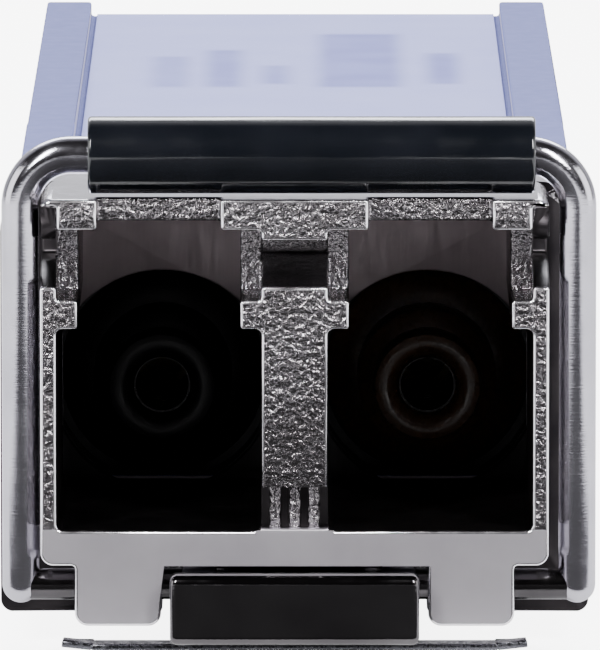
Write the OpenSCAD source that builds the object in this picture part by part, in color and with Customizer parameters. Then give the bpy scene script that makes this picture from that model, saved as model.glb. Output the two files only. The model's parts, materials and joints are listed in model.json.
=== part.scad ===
// Pluggable duplex LC optical transceiver module with a bail latch.
// Frame: X across, Y from the cage mouth into the cage, Z up. The origin is on the centre
// plane, at the positive stop (cage mouth), level with the flat underside of the body.

/* [Body] */
// Overall length, nose front face to rear end
body_l = 56.5; // [52:0.5:68]
// Height of the body inside the cage
body_h = 8.6; // [8.6:0.1:10.4]
// Length of the nose that stays outside the cage
nose_l = 9; // [8.8:0.1:11]
// Depth of the narrow front part of the nose, which the bail folds round
front_l = 3.5; // [2.5:0.1:4.2]
// Step in width on each side from the front part to the full nose
flange_step = 0.985; // [0.6:0.005:1.2]
// Height of the positive stop above the body
stop_h = 1.5; // [1:0.1:2.5]
// Distance from the front face to the lower rear part of the body
neck_y = 28; // [24:0.5:32]
// Thickness of the body's side walls at the rear
wall_t = 0.95; // [0.7:0.05:1.1]
// Thickness of the roof under the label
roof_t = 0.6; // [0.4:0.05:0.8]
// Thickness of the bottom cover
floor_t = 1.2; // [1.1:0.1:1.5]
// Chamfer along the two bottom edges
bottom_chamfer = 1.1; // [0.6:0.1:1.1]
// Length of the open underside at the rear, where the host connector enters
rear_opening_l = 10.4; // [8:0.1:12]
// Depth of the label recess in the roof
label_recess = 0.38; // [0.2:0.02:0.5]
// Width of the rail on each side of the label
rail_w = 1.2; // [0.8:0.1:1.6]

/* [Optical ports] */
// Distance between the two optical axes
port_pitch = 6.25; // [6:0.05:7.6]
// Height of the optical axes above the underside
port_z = 4.75; // [4.6:0.05:5.2]
// Width of a plug window
plug_w = 4.72; // [4.6:0.02:5]
// Height of a plug window
plug_h = 4.68; // [4.4:0.02:4.8]
// Inward reach of each latch tab over a window
tab_w = 0.49; // [0.3:0.01:0.6]
// Thickness of the latch tabs
tab_h = 0.67; // [0.5:0.01:0.8]
// Height of the slot for the plug's latch, above the tabs
slot_h = 1.63; // [1.4:0.01:1.8]
// Depth of the latch slot at full width
slot_d = 2; // [1.6:0.1:2.4]
// Thickness of the top hooks
hook_h = 0.71; // [0.5:0.01:0.9]
// Depth of the top hooks
hook_d = 1; // [0.7:0.1:1.3]
// Width of the opening between two hooks
hook_gap = 2.85; // [2.4:0.05:3.2]
// Side wall outside each window
side_wall = 0.38; // [0.36:0.005:0.6]
// Depth from the front face to the shield plate at the back of the ports
shield_y = 8.5; // [8:0.1:8.7]
// Radius of the two holes in the shield plate
shield_hole_r = 2.62; // [2:0.02:2.66]
// Inner diameter of the ferrule sleeves
ferrule_d = 1.25; // [1.25:0.01:1.5]

/* [Bail and latch] */
// Diameter of the bail wire
wire_d = 0.86; // [0.7:0.02:1]
// Centreline radius of the bail's top bends
bail_bend_r = 1.2; // [1:0.05:1.6]
// Side play of the bail, taken up to the right
bail_play = 0.1; // [0:0.01:0.12]
// Outer diameter of the sleeve on the bail
sleeve_d = 1.78; // [1.6:0.02:2.3]
// Length of the sleeve on the bail
sleeve_l = 10.3; // [8:0.1:10.4]
// Offset of the sleeve along the bail's crossbar
sleeve_shift = 0.29; // [0:0.01:0.3]
// Throw of the cams at the bail's ends
cam_throw = 0.46; // [0.4:0.02:0.48]
// Width of the channel under the nose that holds the latch lever
channel_w = 6.16; // [5.6:0.02:6.4]
// Depth from the front face to the lever's pin
pin_y = 6.5; // [6:0.1:6.8]
// Diameter of the lever's pin
pin_d = 0.8; // [0.7:0.02:0.96]
// Width of the latch boss that locks into the cage
boss_w = 2.6; // [2.2:0.1:2.8]
// Height of the latch boss below the body
boss_h = 0.45; // [0.35:0.05:0.55]
// Thickness of the lever's front bar
bar_t = 0.8; // [0.6:0.05:1]
// Span of the thin tab plate under the lever
tab_plate_w = 10.8; // [9:0.1:12]

/* [Board] */
// Height of the board's underside above the body's underside
board_z = 2.25; // [2.2:0.05:2.5]
// Thickness of the board
board_t = 1; // [0.8:0.05:1.2]
// Width of the board's card edge
edge_w = 9.2; // [9:0.05:9.4]
// Pitch of the contact pads on the card edge
pad_pitch = 0.8; // [0.75:0.01:0.85]
// Distance from the body's rear end to the card edge
edge_inset = 3.2; // [2.5:0.1:4]

/* [Hidden] */
$fn = 48;
tiny = 0.01;
through = 20;

// Widths that follow from the ports
port_x = port_pitch / 2;
front_w = port_pitch + plug_w + 2 * side_wall;
nose_w = front_w + 2 * flange_step;
body_w = nose_w - 0.3;
rear_h = body_h - 0.1;

// Heights in the nose, from the lip upwards
window_z = port_z - plug_h / 2;
tab_z = window_z + plug_h;
slot_z = tab_z + tab_h;
hook_z = slot_z + slot_h;
nose_h = max(body_h + stop_h, hook_z + hook_h);
stem_w = port_pitch - plug_w;
neck_w = plug_w - 2 * tab_w;

// Bail pivot, set by the lever below it, and the crossbar, set by the nose below it
wire_r = wire_d / 2;
pivot_y = 0.85;
lever_top = 0.5;
cam_gap = 0.12;
pivot_z = lever_top + cam_gap + wire_r;
pivot_hole_r = wire_r + 0.05;
lip_z = pivot_z + pivot_hole_r + 0.06;
arm_gap = 0.03;
arm_x = front_w / 2 + wire_r + bail_play + arm_gap;
bar_y = 0.65;
bar_z = nose_h + sleeve_d / 2 + 0.07;
bail_h = sqrt(pow(bar_z - pivot_z, 2) + pow(pivot_y - bar_y, 2));
bail_tilt = atan2(pivot_y - bar_y, bar_z - pivot_z);
cam_side_gap = 0.38;
cam_l = 0.8;
cam_out_x = channel_w / 2 - cam_side_gap;
cam_in_x = cam_out_x - cam_l;

// Recess for the label
label_y = neck_y - 12;

// Groove behind the positive stop, for the collar
groove_d = 0.25;
groove_y = nose_l + 0.4;
groove_l = 3.9;

// Side panels beside the hooks, set back from the front face
hole_top = slot_z + 1.39;
panel_d = 0.3;

// Latch lever
leg_notch = 0.8;
leg_z = 0.19;
lever_w = channel_w - 0.96;
rear_arm_w = boss_w;
rear_channel_w = boss_w + 0.4;
channel_step_y = pin_y + 1.4;
boss_y = nose_l + 2.5;
boss_l = 2.6;
lever_end_y = boss_y + boss_l + 0.2;
channel_end_y = lever_end_y + 0.5;
pin_z = lip_z - 0.98;
pin_clearance = 0.04;
pin_seat_l = 1.5;
eye_r = 0.85;
spring_y = boss_y - 0.9;
spring_wire = 0.2;
spring_r = 0.7;
spring_turns = 3.5;

// Slot for the shield plate
shield_margin = 0.3;
shield_gap = 0.02;
shield_slot = 0.42;
shield_slot_top = hook_z - 0.4;

// Inside of the body
osa_r = 2.7;
optics_w = port_pitch + 2 * osa_r + 0.26;
cavity_w = body_w - 2 * wall_t;
cavity_top = body_h - label_recess - roof_t;
optics_floor = port_z - osa_r - 0.05;
holder_y = nose_l + 0.1;
barrel_tip_y = shield_y - 1.2;
barrel_end_y = holder_y + 2.9;
flange_r = 2.4;
sleeve_r = ferrule_d / 2 + 0.2;
can_l = 2.3;
header_l = 1.2;
lead_circle_r = 1.27;
header_y = barrel_end_y + can_l;
header_back_y = header_y + header_l;
cover_y = channel_end_y + 0.1;
cover_end_y = body_l - rear_opening_l;
board_y = header_back_y + 2.5;
board_end_y = body_l - edge_inset;
board_w = cavity_w - 0.3;
board_top = board_z + board_t;
shoulder_y = cover_end_y - 2.1;
post_front_y = (header_back_y + board_y) / 2;
post_rear_y = (board_y + shoulder_y) / 2 + 2;
post_r = 1.1;
screw_r = 0.5;
screw_head_r = 0.9;
chip_t = 0.9;
driver_x = 2.6;
driver_y = board_y + 3.4;
driver_l = 3;
boss_pad_z = board_top + chip_t + 0.8;

// Every shape below is drawn with Y as the depth behind the front face, and moved once.
module from_front() { translate([0, -nose_l, 0]) children(); }

// Extrudes an X-Z outline between two depths.
module prism(y0, y1) {
    translate([0, y1, 0]) rotate([90, 0, 0]) linear_extrude(y1 - y0) children();
}

// Extrudes a Y-Z outline between two places across the body.
module across(x0, x1) {
    translate([x0, 0, 0]) rotate([90, 0, 90]) linear_extrude(x1 - x0) children();
}

// Rectangle between two corners.
module rect(x0, z0, x1, z1) { translate([x0, z0]) square([x1 - x0, z1 - z0]); }

// Rectangle with round corners.
module round_rect(x0, z0, x1, z1, r) {
    rect(x0 + r, z0, x1 - r, z1);
    rect(x0, z0 + r, x1, z1 - r);
    for (x = [x0 + r, x1 - r], z = [z0 + r, z1 - r]) translate([x, z]) circle(r);
}

// Box between two corners.
module block(x0, y0, z0, x1, y1, z1) { translate([x0, y0, z0]) cube([x1 - x0, y1 - y0, z1 - z0]); }

// Cylinder along Y between two depths.
module rod_y(x, z, y0, y1, r) {
    translate([x, y1, z]) rotate([90, 0, 0]) cylinder(h = y1 - y0, r = r);
}

// Cylinder along X.
module rod_x(x0, x1, y, z, r) { translate([x0, y, z]) rotate([0, 90, 0]) cylinder(h = x1 - x0, r = r); }

// Both optical ports.
module at_ports() { for (side = [-1, 1]) translate([side * port_x, 0, 0]) children(); }

// Both sides of the centre plane.
module both_sides() {
    children();
    mirror([1, 0, 0]) children();
}

// Body cross-section with two chamfered bottom edges.
module body_outline(w, h) {
    polygon([[-w / 2, bottom_chamfer], [-w / 2 + bottom_chamfer, 0], [w / 2 - bottom_chamfer, 0],
        [w / 2, bottom_chamfer], [w / 2, h], [-w / 2, h]]);
}

// ---- Housing ----

// Solid nose: narrow front part with two legs, then the full width flange.
module nose_blank() {
    corner_r = 1.2;
    leg_out = front_w / 2 - leg_notch;
    prism(0, front_l + tiny) {
        round_rect(-front_w / 2, lip_z, front_w / 2, nose_h, 0.3);
        both_sides() round_rect(channel_w / 2, leg_z, leg_out, lip_z + 1, 0.3);
    }
    prism(front_l, nose_l) {
        round_rect(-nose_w / 2, nose_h - 3 * corner_r, nose_w / 2, nose_h, corner_r);
        round_rect(-nose_w / 2, 0, nose_w / 2, nose_h - corner_r, 0.3);
    }
}

// Solid body behind the positive stop, lower at the rear, with a groove for the collar.
module body_blank() {
    difference() {
        prism(nose_l - tiny, neck_y) body_outline(body_w, body_h);
        difference() {
            block(-through, groove_y, -1, through, groove_y + groove_l, through);
            block(-body_w / 2 + groove_d, 0, -through, body_w / 2 - groove_d, body_l,
                body_h - groove_d);
        }
    }
    prism(neck_y - tiny, body_l) body_outline(body_w, rear_h);
}

// Opening of one port: window, neck between the tabs, and the latch slot above.
module port_cut() {
    half = plug_w / 2;
    deep = nose_l + 0.2;
    slot_top = hook_z + 0.16;
    prism(-1, deep) round_rect(-half, window_z, half, tab_z, 0.15);
    prism(-1, deep) rect(-neck_w / 2, tab_z - 0.3, neck_w / 2, slot_z + 0.3);
    prism(-1, slot_d) rect(-half, slot_z, half, hook_z);
    prism(hook_d, slot_d) rect(-half, hook_z - 0.3, half, slot_top);
    prism(-1, slot_d) rect(-hook_gap / 2, hook_z - 0.3, hook_gap / 2, slot_top);
    prism(-1, shield_y + 0.3) rect(-neck_w / 2, slot_z, neck_w / 2, hook_z);
    prism(-1, 0.5) rect(-hook_gap / 2, hook_z, hook_gap / 2, nose_h + 1);
}

// Relief pocket with a sloping sill, between the tab below and the hook above.
module pocket(x0, x1) {
    sill_z = slot_z + 0.3;
    hole_z = slot_z + 0.74;
    across(x0, x1) polygon([[-1, sill_z], [0, sill_z], [1.4, hole_z], [3, hole_z], [3, hole_top],
        [-1, hole_top]]);
}

// Foot of the stem: a recess with three fine upright ribs.
module stem_foot_cut() {
    recess_top = window_z + 1.02;
    difference() {
        block(-stem_w / 2 - tiny, -1, window_z, stem_w / 2 + tiny, 0.55, recess_top);
        for (x = [-0.45, 0, 0.45]) translate([x, 0.55, window_z - 1])
            cylinder(h = 3, r = 0.14, $fn = 24);
    }
}

// Channel for the latch lever, wide in front of the pin and narrow behind it.
module lever_channel() {
    block(-channel_w / 2, -1, -1, channel_w / 2, channel_step_y, lip_z);
    block(-rear_channel_w / 2, 0, -1, rear_channel_w / 2, channel_end_y, lip_z);
}

// Post with a blind thread for a cover screw.
module screw_post(y) {
    difference() {
        translate([0, y, floor_t + 0.02]) cylinder(h = cavity_top - floor_t, r = post_r);
        translate([0, y, 0]) cylinder(h = floor_t + 3, r = screw_r + 0.02);
    }
}

module housing() {
    color([0.72, 0.70, 0.75]) {
        difference() {
            union() {
                nose_blank();
                body_blank();
            }
            at_ports() port_cut();
            pocket(-stem_w / 2, stem_w / 2);
            both_sides() {
                pocket(port_x + plug_w / 2 - tiny, front_w / 2 + 1);
                block(port_x + plug_w / 2 - tiny, -1, hole_top - tiny, front_w / 2 + 1, panel_d,
                    nose_h - 0.15);
            }
            stem_foot_cut();
            lever_channel();
            // Bail pivot holes through the legs
            rod_x(-front_w, front_w, pivot_y, pivot_z, pivot_hole_r);
            // Pin hole, blind on the left and open on the right
            rod_x(-channel_w / 2 - pin_seat_l, nose_w, pin_y, pin_z, pin_d / 2 + 0.005);
            // Slot for the shield plate, open downwards
            block(-front_w / 2 + shield_margin, shield_y, -1, front_w / 2 - shield_margin,
                shield_y + shield_slot, shield_slot_top);
            // Room for the optics, then the long room for the board, open at the rear
            block(-optics_w / 2, nose_l + 0.05, optics_floor, optics_w / 2, board_y, cavity_top);
            block(-cavity_w / 2, board_y - 1, optics_floor, cavity_w / 2, body_l + 1, cavity_top - 0.1);
            // Open underside behind the latch
            block(-optics_w / 2, cover_y - 0.1, -1, optics_w / 2, board_y, optics_floor + tiny);
            block(-cavity_w / 2, board_y - 1, -1, cavity_w / 2, body_l + 1, optics_floor + tiny);
            block(-through, cover_y - 0.1, -1, through, body_l + 1, floor_t + 0.02);
            // Label recess between the rails
            prism(label_y, body_l + 1)
                rect(-body_w / 2 + rail_w, rear_h - label_recess, body_w / 2 - rail_w, through);
        }
        screw_post(post_front_y);
        screw_post(post_rear_y);
        // Cooling boss over the driver chip
        block(-driver_x - 1.7, driver_y - 0.2, boss_pad_z, -driver_x + 1.7, driver_y + driver_l + 0.2,
            cavity_top);
    }
}

// ---- Cover, screws, label and collar ----

module bottom_cover() {
    rib_x = board_w / 2 - 0.9;
    color([0.70, 0.69, 0.73])
    difference() {
        union() {
            prism(cover_y, cover_end_y) intersection() {
                body_outline(body_w, body_h);
                rect(-through, 0, through, floor_t);
            }
            // Ribs that carry the board
            both_sides() block(rib_x, board_y + 1, floor_t - tiny, rib_x + 0.8, shoulder_y - 1, board_z);
        }
        // Pocket that lightens the plate
        block(-rib_x + 0.6, board_y + 1, floor_t - 0.4, rib_x - 0.6, post_rear_y - 2.2, through);
        block(-rib_x + 0.6, post_rear_y + 2.2, floor_t - 0.4, rib_x - 0.6, cover_end_y - 1, through);
        for (y = [post_front_y, post_rear_y]) translate([0, y, 0]) {
            translate([0, 0, -1]) cylinder(h = through, r = screw_r + 0.1);
            translate([0, 0, -tiny]) cylinder(h = 0.5, r1 = screw_head_r + 0.05, r2 = screw_r + 0.1);
        }
    }
}

module cover_screws() {
    color([0.55, 0.55, 0.58])
    for (y = [post_front_y, post_rear_y]) translate([0, y, 0]) difference() {
        union() {
            translate([0, 0, 0.02]) cylinder(h = 0.45, r1 = screw_head_r, r2 = screw_r);
            translate([0, 0, 0.02]) cylinder(h = floor_t + 2.4, r = screw_r);
        }
        for (turn = [0, 90]) rotate([0, 0, turn]) translate([-0.5, -0.09, -1]) cube([1, 0.18, 1.25]);
    }
}

module top_label() {
    label_gap = 0.3;
    label_t = 0.08;
    half_w = body_w / 2 - rail_w - label_gap / 2;
    recess_z = rear_h - label_recess;
    color([0.86, 0.87, 0.93])
    block(-half_w, label_y + label_gap, recess_z, half_w, body_l - label_gap, recess_z + label_t);
}

// One spring finger of the collar: a thin strip that bows outwards, drawn in Y-Z.
module finger_outline() {
    bow_r = 8;
    bow_half = 1.4;
    centre_z = 0.38 - bow_r;
    intersection() {
        translate([0, centre_z]) difference() {
            circle(bow_r, $fn = 96);
            circle(bow_r - 0.08, $fn = 96);
        }
        rect(-bow_half, 0, bow_half, 1);
    }
}

module emi_collar() {
    sheet_t = 0.1;
    band_l = 0.7;
    seat_x = body_w / 2 - groove_d;
    seat_z = body_h - groove_d;
    band_y = groove_y + 0.05;
    finger_y = band_y + band_l + 1.35;
    finger_share = 0.8;
    side_start = 1.5;
    top_n = 7;
    side_n = 4;
    top_pitch = (2 * seat_x - 0.6) / top_n;
    side_pitch = (seat_z - side_start - 0.1) / side_n;
    color([0.78, 0.76, 0.72]) {
        prism(band_y, band_y + band_l) difference() {
            rect(-seat_x - sheet_t, bottom_chamfer + 0.3, seat_x + sheet_t, seat_z + sheet_t);
            rect(-seat_x - 0.005, -1, seat_x + 0.005, seat_z + 0.005);
        }
        for (i = [0:top_n - 1]) {
            x = -seat_x + 0.3 + (i + 0.1) * top_pitch;
            translate([0, finger_y, seat_z + 0.01]) across(x, x + finger_share * top_pitch) finger_outline();
        }
        both_sides() for (i = [0:side_n - 1]) {
            z = side_start + (i + 0.1) * side_pitch;
            translate([seat_x + 0.01, finger_y, 0]) rotate([0, 90, 0])
                across(-z - finger_share * side_pitch, -z) finger_outline();
        }
    }
}

// ---- Bail ----

// Half of the bail wire in its own plane, from the crossbar's middle down to the cam.
module half_bail() {
    rod_x(0, arm_x - bail_bend_r, 0, bail_h, wire_r);
    translate([arm_x - bail_bend_r, 0, bail_h - bail_bend_r]) rotate([90, 0, 0])
        rotate_extrude(angle = 90) translate([bail_bend_r, 0]) circle(wire_r);
    translate([arm_x, 0, 0]) cylinder(h = bail_h - bail_bend_r, r = wire_r);
    translate([arm_x, 0, 0]) sphere(wire_r);
    rod_x(cam_in_x, arm_x, 0, 0, wire_r);
}

// Rounded cam that presses the lever down when the bail is pulled forward.
module bail_cam() {
    across(cam_in_x, cam_out_x) {
        circle(wire_r);
        translate([-cam_throw, 0]) circle(wire_r);
        rect(-cam_throw, -wire_r, 0, wire_r);
    }
}

module on_bail() { translate([bail_play, pivot_y, pivot_z]) children(); }

module bail_wire() {
    color([0.74, 0.73, 0.76]) on_bail() {
        rotate([bail_tilt, 0, 0]) both_sides() half_bail();
        both_sides() bail_cam();
    }
}

module bail_sleeve() {
    color([0.04, 0.04, 0.05])
    on_bail() rotate([bail_tilt, 0, 0]) difference() {
        rod_x(sleeve_shift - sleeve_l / 2, sleeve_shift + sleeve_l / 2, 0, bail_h, sleeve_d / 2);
        rod_x(-through, through, 0, bail_h, wire_r + 0.04);
    }
}

// ---- Latch lever ----

module front_arm_outline() {
    seat_y = 0.9;
    seat_l = 2.2;
    polygon([[-0.5, -0.13], [seat_y, -0.36], [seat_y + seat_l, -0.59], [seat_y + seat_l + 0.8, -0.2],
        [pin_y + 0.9, 0.02], [pin_y + 0.9, lever_top], [-0.5, lever_top]]);
}

module rear_arm_outline() {
    polygon([[pin_y, 0.02], [boss_y, 0.02], [boss_y, -boss_h], [boss_y + 0.6, -boss_h],
        [boss_y + boss_l, 0.02], [lever_end_y, 0.02], [lever_end_y, lever_top], [pin_y, lever_top]]);
}

module latch_lever() {
    bar_w = channel_w - 0.42;
    bar_gap = 0.15;
    color([0.60, 0.59, 0.62])
    difference() {
        union() {
            across(-bar_w / 2, bar_w / 2) round_rect(-bar_gap - bar_t, -0.13, -bar_gap, 1.5, 0.22);
            across(-lever_w / 2, lever_w / 2) front_arm_outline();
            across(-lever_w / 2, lever_w / 2) translate([pin_y, pin_z]) circle(eye_r);
            across(-rear_arm_w / 2, rear_arm_w / 2) rear_arm_outline();
        }
        rod_x(-through, through, pin_y, pin_z, pin_d / 2 + pin_clearance);
        // Seat for the spring
        translate([0, spring_y, lever_top - 0.1]) cylinder(h = 1, r = spring_r + spring_wire);
    }
}

module tab_plate() {
    plate_t = 0.15;
    plate_l = 2;
    end_w = 0.7;
    half_w = tab_plate_w / 2;
    color([0.50, 0.50, 0.54])
    translate([0, 1, -0.385]) rotate([-6, 0, 0]) {
        block(-half_w + end_w, 0, -plate_t, half_w - end_w, plate_l, 0);
        both_sides() translate([half_w - end_w - tiny, 0, 0]) rotate([0, -6, 0])
            block(0, 0.1, -plate_t, end_w, plate_l - 0.1, 0);
    }
}

module latch_pin() {
    color([0.62, 0.62, 0.64])
    rod_x(-channel_w / 2 - pin_seat_l + 0.05, nose_w / 2 - 0.3, pin_y, pin_z, pin_d / 2);
}

// Point on the spring's helix at a turn counted from 0, and a ring of its wire there.
function helix_point(t, rise) = [spring_r * cos(360 * t), spring_r * sin(360 * t), rise * t / spring_turns];
function ring_point(t, rise, a) = helix_point(t, rise)
    + (spring_wire / 2) * [cos(a) * cos(360 * t), cos(a) * sin(360 * t), sin(a)];

module latch_spring() {
    steps = 16 * spring_turns;
    sides = 8;
    seat = lever_top - 0.1;
    rise = lip_z - seat - spring_wire - 0.02;
    points = [for (i = [0:steps], j = [0:sides - 1])
        ring_point(i / 16, rise, 360 * j / sides)];
    skin = [for (i = [0:steps - 1], j = [0:sides - 1])
        let (k = (j + 1) % sides)
        [i * sides + j, (i + 1) * sides + j, (i + 1) * sides + k, i * sides + k]];
    first_end = [[for (j = [0:sides - 1]) j]];
    last_end = [[for (j = [0:sides - 1]) steps * sides + sides - 1 - j]];
    color([0.66, 0.66, 0.68])
    translate([0, spring_y, seat + spring_wire / 2 + tiny])
        polyhedron(concat(points), concat(skin, first_end, last_end));
}

// ---- Optics ----

module osa_shield() {
    half_w = front_w / 2 - shield_margin - shield_gap;
    color([0.36, 0.33, 0.34])
    prism(shield_y + shield_gap, shield_y + shield_slot - shield_gap) difference() {
        rect(-half_w, lip_z + 0.1, half_w, shield_slot_top - shield_gap);
        at_ports() translate([0, port_z]) circle(shield_hole_r);
    }
}

module osa_holder() {
    step_y = holder_y + 1.1;
    gap = 0.04;
    color([0.16, 0.16, 0.17])
    difference() {
        block(-optics_w / 2 + gap, holder_y, optics_floor + gap, optics_w / 2 - gap,
            barrel_end_y - 0.1, cavity_top - gap);
        at_ports() {
            rod_y(0, port_z, holder_y - 1, step_y, shield_hole_r);
            rod_y(0, port_z, step_y - tiny, barrel_end_y + 1, flange_r + gap);
        }
    }
}

// Barrel that guides the ferrule: slim tip, step ring, then the clamped flange.
module barrel() {
    mouth_r = sleeve_r - 0.035;
    tip_r = 1.275;
    ring_r = 1.65;
    difference() {
        union() {
            rod_y(0, port_z, barrel_tip_y, holder_y, tip_r);
            rod_y(0, port_z, barrel_tip_y + 1.3, barrel_end_y, ring_r);
            rod_y(0, port_z, holder_y + 1.2, barrel_end_y, flange_r);
        }
        rod_y(0, port_z, barrel_tip_y - 1, barrel_end_y + 1, mouth_r);
        rod_y(0, port_z, barrel_tip_y + 0.5, barrel_end_y + 1, sleeve_r + 0.02);
        translate([0, barrel_tip_y + 0.2, port_z]) rotate([90, 0, 0])
            cylinder(h = 0.3, r1 = mouth_r, r2 = mouth_r + 0.15);
    }
}

// Split sleeve that holds the ferrule, with a fine slot along its top.
module split_sleeve() {
    difference() {
        rod_y(0, port_z, barrel_tip_y + 0.52, barrel_end_y, sleeve_r);
        rod_y(0, port_z, 0, body_l, ferrule_d / 2);
        block(-0.08, 0, port_z, 0.08, body_l, port_z + 2);
    }
}

// Hollow can behind the barrel, with the wider header that closes it.
module can() {
    difference() {
        union() {
            rod_y(0, port_z, barrel_end_y + 0.01, header_y, 2);
            rod_y(0, port_z, header_y - tiny, header_back_y, osa_r);
        }
        rod_y(0, port_z, barrel_end_y + 0.5, header_y, 1.7);
        rod_y(0, port_z, barrel_end_y - 1, header_y, 0.45);
        for (a = [45:90:315]) lead(a, header_y - 1, header_back_y + 1, 0.2);
    }
}

// One lead at an angle round the optical axis.
module lead(a, y0, y1, r) { rod_y(lead_circle_r * cos(a), port_z + lead_circle_r * sin(a), y0, y1, r); }

module leads() { for (a = [45:90:315]) lead(a, header_y + 0.2, header_back_y + 0.5, 0.18); }

module lens() { translate([0, barrel_end_y + 1.2, port_z]) sphere(0.62); }

module submount() { block(-0.6, header_y - 0.35, port_z - 0.5, 0.6, header_y - 0.02, port_z + 0.5); }

// Flexible circuit: up the header's back, round a bend and down onto the board.
module flex() {
    flex_t = 0.14;
    flex_w = 3.4;
    bend_r = 0.9;
    back = header_back_y + 0.16;
    low = board_top + 0.03;
    difference() {
        across(-flex_w / 2, flex_w / 2) {
            rect(back, low + bend_r, back + flex_t, port_z + 2);
            rect(back + bend_r, low, board_y + 2, low + flex_t);
            intersection() {
                translate([back + bend_r, low + bend_r]) difference() {
                    circle(bend_r);
                    circle(bend_r - flex_t);
                }
                rect(back - 1, low - 1, back + bend_r, low + bend_r);
            }
        }
        for (a = [45:90:315]) lead(a, 0, body_l, 0.2);
    }
}

module transmit_barrel() { color([0.10, 0.10, 0.11]) translate([-port_x, 0, 0]) barrel(); }
module transmit_sleeve() { color([0.92, 0.92, 0.90]) translate([-port_x, 0, 0]) split_sleeve(); }
module transmit_can() { color([0.75, 0.66, 0.42]) translate([-port_x, 0, 0]) can(); }
module transmit_lens() { color([0.70, 0.80, 0.85]) translate([-port_x, 0, 0]) lens(); }
module laser_submount() { color([0.85, 0.72, 0.35]) translate([-port_x, 0, 0]) submount(); }
module transmit_pins() { color([0.85, 0.70, 0.35]) translate([-port_x, 0, 0]) leads(); }
module transmit_flex() { color([0.80, 0.50, 0.15]) translate([-port_x, 0, 0]) flex(); }
module receive_barrel() { color([0.45, 0.24, 0.08]) translate([port_x, 0, 0]) barrel(); }
module receive_sleeve() { color([0.92, 0.92, 0.90]) translate([port_x, 0, 0]) split_sleeve(); }
module receive_can() { color([0.75, 0.66, 0.42]) translate([port_x, 0, 0]) can(); }
module receive_lens() { color([0.70, 0.80, 0.85]) translate([port_x, 0, 0]) lens(); }
module photodiode_submount() { color([0.85, 0.72, 0.35]) translate([port_x, 0, 0]) submount(); }
module receive_pins() { color([0.85, 0.70, 0.35]) translate([port_x, 0, 0]) leads(); }
module receive_flex() { color([0.80, 0.50, 0.15]) translate([port_x, 0, 0]) flex(); }

// ---- Board ----

module circuit_board() {
    color([0.05, 0.30, 0.14])
    difference() {
        union() {
            block(-board_w / 2, board_y, board_z, board_w / 2, shoulder_y, board_top);
            block(-edge_w / 2, shoulder_y - tiny, board_z, edge_w / 2, board_end_y, board_top);
        }
        translate([0, post_rear_y, 0]) cylinder(h = through, r = post_r + 0.1);
    }
}

// Two rows of ten gold pads, on the top and the underside of the card edge.
module edge_contacts() {
    pad_w = 0.55;
    pad_l = 3;
    pad_t = 0.04;
    color([0.90, 0.72, 0.30])
    for (i = [0:9], z = [board_z - pad_t, board_top]) {
        x = (i - 4.5) * pad_pitch;
        block(x - pad_w / 2, board_end_y - pad_l - 0.3, z, x + pad_w / 2, board_end_y - 0.3, z + pad_t);
    }
}

// Flat chip package on the board, centred on x and starting at a depth.
module chip(x, y, w, l, t) { block(x - w / 2, y, board_top, x + w / 2, y + l, board_top + t); }

module driver_chip() { color([0.08, 0.08, 0.09]) chip(-driver_x, driver_y, driver_l, driver_l, chip_t); }
module amplifier_chip() { color([0.08, 0.08, 0.09]) chip(driver_x, driver_y, driver_l, driver_l, chip_t); }
module controller_chip() { color([0.07, 0.07, 0.08]) chip(0, post_rear_y + 2.4, 5, 5, 0.85); }
module memory_chip() { color([0.09, 0.09, 0.10]) chip(-3.6, post_rear_y - 2.6, 2, 3, 0.75); }

module chip_capacitors() {
    color([0.62, 0.50, 0.38])
    for (side = [-1, 1], i = [0:3])
        chip(side * 4.6, board_y + 3 + 1.3 * i, 0.5, 1, 0.5);
    color([0.62, 0.50, 0.38])
    for (side = [-1, 1], i = [0:2])
        chip(side * (0.9 + 0.9 * i), shoulder_y + 1.4, 0.5, 1, 0.5);
}

module chip_resistors() {
    color([0.10, 0.10, 0.12])
    for (side = [-1, 1], i = [0:3])
        chip(side * 4.6, post_rear_y + 2.4 + 1.3 * i, 0.5, 1, 0.35);
}

module power_inductors() {
    color([0.25, 0.24, 0.25])
    for (y = [post_rear_y - 2.6, post_rear_y - 0.6]) chip(3.6, y, 1.8, 1.6, 1);
}

module thermal_pad() {
    half_w = 1.4;
    color([0.55, 0.62, 0.72])
    block(-driver_x - half_w, driver_y + 0.1, board_top + chip_t, -driver_x + half_w,
        driver_y + driver_l - 0.1, boss_pad_z);
}

from_front() housing();
from_front() bottom_cover();
from_front() cover_screws();
from_front() top_label();
from_front() emi_collar();
from_front() bail_wire();
from_front() bail_sleeve();
from_front() latch_lever();
from_front() tab_plate();
from_front() latch_pin();
from_front() latch_spring();
from_front() osa_shield();
from_front() osa_holder();
from_front() transmit_barrel();
from_front() transmit_sleeve();
from_front() transmit_can();
from_front() transmit_lens();
from_front() laser_submount();
from_front() transmit_pins();
from_front() transmit_flex();
from_front() receive_barrel();
from_front() receive_sleeve();
from_front() receive_can();
from_front() receive_lens();
from_front() photodiode_submount();
from_front() receive_pins();
from_front() receive_flex();
from_front() circuit_board();
from_front() edge_contacts();
from_front() driver_chip();
from_front() amplifier_chip();
from_front() controller_chip();
from_front() memory_chip();
from_front() chip_capacitors();
from_front() chip_resistors();
from_front() power_inductors();
from_front() thermal_pad();
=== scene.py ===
"""Optical transceiver module: looks, camera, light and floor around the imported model."""
import json
import math

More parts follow.
